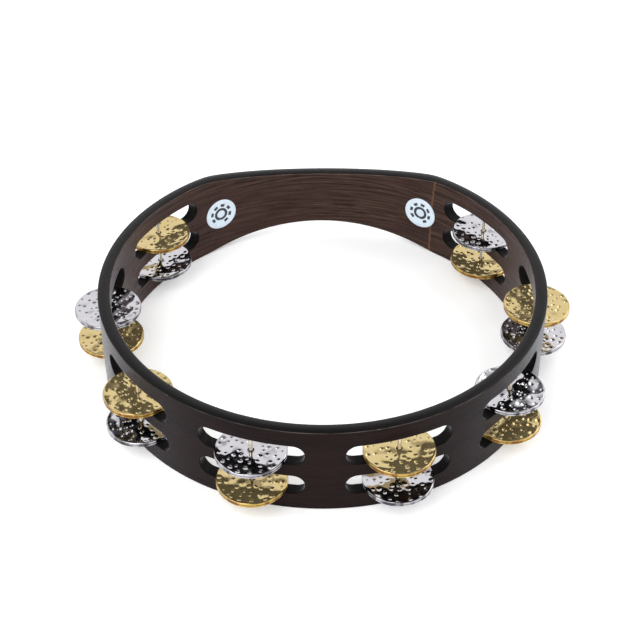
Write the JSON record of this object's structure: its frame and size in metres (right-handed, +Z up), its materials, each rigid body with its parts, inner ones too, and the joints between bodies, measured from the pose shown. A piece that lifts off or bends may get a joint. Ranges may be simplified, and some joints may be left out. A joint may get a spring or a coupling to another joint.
{
  "type": "tambourine",
  "caption": "Headless round wooden tambourine with a waisted grip and two rows of slots holding paired loose metal jingles on vertical pins.",
  "frame": {"origin": "middle of the whole footprint, jingles included, in the plane of the hoop's lower edge; the hoop's own centre is 4.73 mm towards +Y", "axes": "+Z up along the hoop's axis, +Y from the centre to the middle of the grip, +X to the right seen from the front"},
  "size_m": [0.285, 0.2634, 0.055],
  "materials": {
    "wood": "dark brown satin lacquer over plywood",
    "pin_steel": "plain drawn wire",
    "brass": "hammered and polished",
    "nickel": "hammered, nickel plated and polished",
    "label": null
  },
  "bodies": {
    "hoop": {"hoop": "wood", "pin_1": "pin_steel", "pin_2": "pin_steel", "pin_3": "pin_steel", "pin_4": "pin_steel", "pin_5": "pin_steel", "pin_6": "pin_steel", "pin_7": "pin_steel", "pin_8": "pin_steel", "label_left": "label", "label_right": "label"},
    "jingle_1_lower_bottom": {"jingle_1_lower_bottom": "nickel"},
    "jingle_1_lower_top": {"jingle_1_lower_top": "nickel"},
    "jingle_1_upper_bottom": {"jingle_1_upper_bottom": "brass"},
    "jingle_1_upper_top": {"jingle_1_upper_top": "brass"},
    "jingle_2_lower_bottom": {"jingle_2_lower_bottom": "brass"},
    "jingle_2_lower_top": {"jingle_2_lower_top": "brass"},
    "jingle_2_upper_bottom": {"jingle_2_upper_bottom": "nickel"},
    "jingle_2_upper_top": {"jingle_2_upper_top": "nickel"},
    "jingle_3_lower_bottom": {"jingle_3_lower_bottom": "nickel"},
    "jingle_3_lower_top": {"jingle_3_lower_top": "nickel"},
    "jingle_3_upper_bottom": {"jingle_3_upper_bottom": "brass"},
    "jingle_3_upper_top": {"jingle_3_upper_top": "brass"},
    "jingle_4_lower_bottom": {"jingle_4_lower_bottom": "brass"},
    "jingle_4_lower_top": {"jingle_4_lower_top": "brass"},
    "jingle_4_upper_bottom": {"jingle_4_upper_bottom": "nickel"},
    "jingle_4_upper_top": {"jingle_4_upper_top": "nickel"},
    "jingle_5_lower_bottom": {"jingle_5_lower_bottom": "nickel"},
    "jingle_5_lower_top": {"jingle_5_lower_top": "nickel"},
    "jingle_5_upper_bottom": {"jingle_5_upper_bottom": "brass"},
    "jingle_5_upper_top": {"jingle_5_upper_top": "brass"},
    "jingle_6_lower_bottom": {"jingle_6_lower_bottom": "brass"},
    "jingle_6_lower_top": {"jingle_6_lower_top": "brass"},
    "jingle_6_upper_bottom": {"jingle_6_upper_bottom": "nickel"},
    "jingle_6_upper_top": {"jingle_6_upper_top": "nickel"},
    "jingle_7_lower_bottom": {"jingle_7_lower_bottom": "nickel"},
    "jingle_7_lower_top": {"jingle_7_lower_top": "nickel"},
    "jingle_7_upper_bottom": {"jingle_7_upper_bottom": "brass"},
    "jingle_7_upper_top": {"jingle_7_upper_top": "brass"},
    "jingle_8_lower_bottom": {"jingle_8_lower_bottom": "brass"},
    "jingle_8_lower_top": {"jingle_8_lower_top": "brass"},
    "jingle_8_upper_bottom": {"jingle_8_upper_bottom": "nickel"},
    "jingle_8_upper_top": {"jingle_8_upper_top": "nickel"}
  },
  "joints": [
    {"name": "spin_1_lower", "type": "hinge", "parent": "hoop", "child": "jingle_1_lower_bottom", "pos_m": [-0.09991, 0.07732, 0.0126], "axis": [0, 0, 1], "continuous": true},
    {"name": "clap_1_lower", "type": "slide", "parent": "jingle_1_lower_bottom", "child": "jingle_1_lower_top", "axis": [0, 0, 1], "range_m": [0, 0.0088]},
    {"name": "spin_1_upper", "type": "hinge", "parent": "hoop", "child": "jingle_1_upper_bottom", "pos_m": [-0.09991, 0.07732, 0.0336], "axis": [0, 0, 1], "continuous": true},
    {"name": "clap_1_upper", "type": "slide", "parent": "jingle_1_upper_bottom", "child": "jingle_1_upper_top", "axis": [0, 0, 1], "range_m": [0, 0.0088]},
    {"name": "spin_2_lower", "type": "hinge", "parent": "hoop", "child": "jingle_2_lower_bottom", "pos_m": [-0.1235, 0.00473, 0.0126], "axis": [0, 0, 1], "continuous": true},
    {"name": "clap_2_lower", "type": "slide", "parent": "jingle_2_lower_bottom", "child": "jingle_2_lower_top", "axis": [0, 0, 1], "range_m": [0, 0.0088]},
    {"name": "spin_2_upper", "type": "hinge", "parent": "hoop", "child": "jingle_2_upper_bottom", "pos_m": [-0.1235, 0.00473, 0.0336], "axis": [0, 0, 1], "continuous": true},
    {"name": "clap_2_upper", "type": "slide", "parent": "jingle_2_upper_bottom", "child": "jingle_2_upper_top", "axis": [0, 0, 1], "range_m": [0, 0.0088]},
    {"name": "spin_3_lower", "type": "hinge", "parent": "hoop", "child": "jingle_3_lower_bottom", "pos_m": [-0.09991, -0.06786, 0.0126], "axis": [0, 0, 1], "continuous": true},
    {"name": "clap_3_lower", "type": "slide", "parent": "jingle_3_lower_bottom", "child": "jingle_3_lower_top", "axis": [0, 0, 1], "range_m": [0, 0.0088]},
    {"name": "spin_3_upper", "type": "hinge", "parent": "hoop", "child": "jingle_3_upper_bottom", "pos_m": [-0.09991, -0.06786, 0.0336], "axis": [0, 0, 1], "continuous": true},
    {"name": "clap_3_upper", "type": "slide", "parent": "jingle_3_upper_bottom", "child": "jingle_3_upper_top", "axis": [0, 0, 1], "range_m": [0, 0.0088]},
    {"name": "spin_4_lower", "type": "hinge", "parent": "hoop", "child": "jingle_4_lower_bottom", "pos_m": [-0.03816, -0.11273, 0.0126], "axis": [0, 0, 1], "continuous": true},
    {"name": "clap_4_lower", "type": "slide", "parent": "jingle_4_lower_bottom", "child": "jingle_4_lower_top", "axis": [0, 0, 1], "range_m": [0, 0.0088]},
    {"name": "spin_4_upper", "type": "hinge", "parent": "hoop", "child": "jingle_4_upper_bottom", "pos_m": [-0.03816, -0.11273, 0.0336], "axis": [0, 0, 1], "continuous": true},
    {"name": "clap_4_upper", "type": "slide", "parent": "jingle_4_upper_bottom", "child": "jingle_4_upper_top", "axis": [0, 0, 1], "range_m": [0, 0.0088]},
    {"name": "spin_5_lower", "type": "hinge", "parent": "hoop", "child": "jingle_5_lower_bottom", "pos_m": [0.03816, -0.11273, 0.0126], "axis": [0, 0, 1], "continuous": true},
    {"name": "clap_5_lower", "type": "slide", "parent": "jingle_5_lower_bottom", "child": "jingle_5_lower_top", "axis": [0, 0, 1], "range_m": [0, 0.0088]},
    {"name": "spin_5_upper", "type": "hinge", "parent": "hoop", "child": "jingle_5_upper_bottom", "pos_m": [0.03816, -0.11273, 0.0336], "axis": [0, 0, 1], "continuous": true},
    {"name": "clap_5_upper", "type": "slide", "parent": "jingle_5_upper_bottom", "child": "jingle_5_upper_top", "axis": [0, 0, 1], "range_m": [0, 0.0088]},
    {"name": "spin_6_lower", "type": "hinge", "parent": "hoop", "child": "jingle_6_lower_bottom", "pos_m": [0.09991, -0.06786, 0.0126], "axis": [0, 0, 1], "continuous": true},
    {"name": "clap_6_lower", "type": "slide", "parent": "jingle_6_lower_bottom", "child": "jingle_6_lower_top", "axis": [0, 0, 1], "range_m": [0, 0.0088]},
    {"name": "spin_6_upper", "type": "hinge", "parent": "hoop", "child": "jingle_6_upper_bottom", "pos_m": [0.09991, -0.06786, 0.0336], "axis": [0, 0, 1], "continuous": true},
    {"name": "clap_6_upper", "type": "slide", "parent": "jingle_6_upper_bottom", "child": "jingle_6_upper_top", "axis": [0, 0, 1], "range_m": [0, 0.0088]},
    {"name": "spin_7_lower", "type": "hinge", "parent": "hoop", "child": "jingle_7_lower_bottom", "pos_m": [0.1235, 0.00473, 0.0126], "axis": [0, 0, 1], "continuous": true},
    {"name": "clap_7_lower", "type": "slide", "parent": "jingle_7_lower_bottom", "child": "jingle_7_lower_top", "axis": [0, 0, 1], "range_m": [0, 0.0088]},
    {"name": "spin_7_upper", "type": "hinge", "parent": "hoop", "child": "jingle_7_upper_bottom", "pos_m": [0.1235, 0.00473, 0.0336], "axis": [0, 0, 1], "continuous": true},
    {"name": "clap_7_upper", "type": "slide", "parent": "jingle_7_upper_bottom", "child": "jingle_7_upper_top", "axis": [0, 0, 1], "range_m": [0, 0.0088]},
    {"name": "spin_8_lower", "type": "hinge", "parent": "hoop", "child": "jingle_8_lower_bottom", "pos_m": [0.09991, 0.07732, 0.0126], "axis": [0, 0, 1], "continuous": true},
    {"name": "clap_8_lower", "type": "slide", "parent": "jingle_8_lower_bottom", "child": "jingle_8_lower_top", "axis": [0, 0, 1], "range_m": [0, 0.0088]},
    {"name": "spin_8_upper", "type": "hinge", "parent": "hoop", "child": "jingle_8_upper_bottom", "pos_m": [0.09991, 0.07732, 0.0336], "axis": [0, 0, 1], "continuous": true},
    {"name": "clap_8_upper", "type": "slide", "parent": "jingle_8_upper_bottom", "child": "jingle_8_upper_top", "axis": [0, 0, 1], "range_m": [0, 0.0088]}
  ]
}
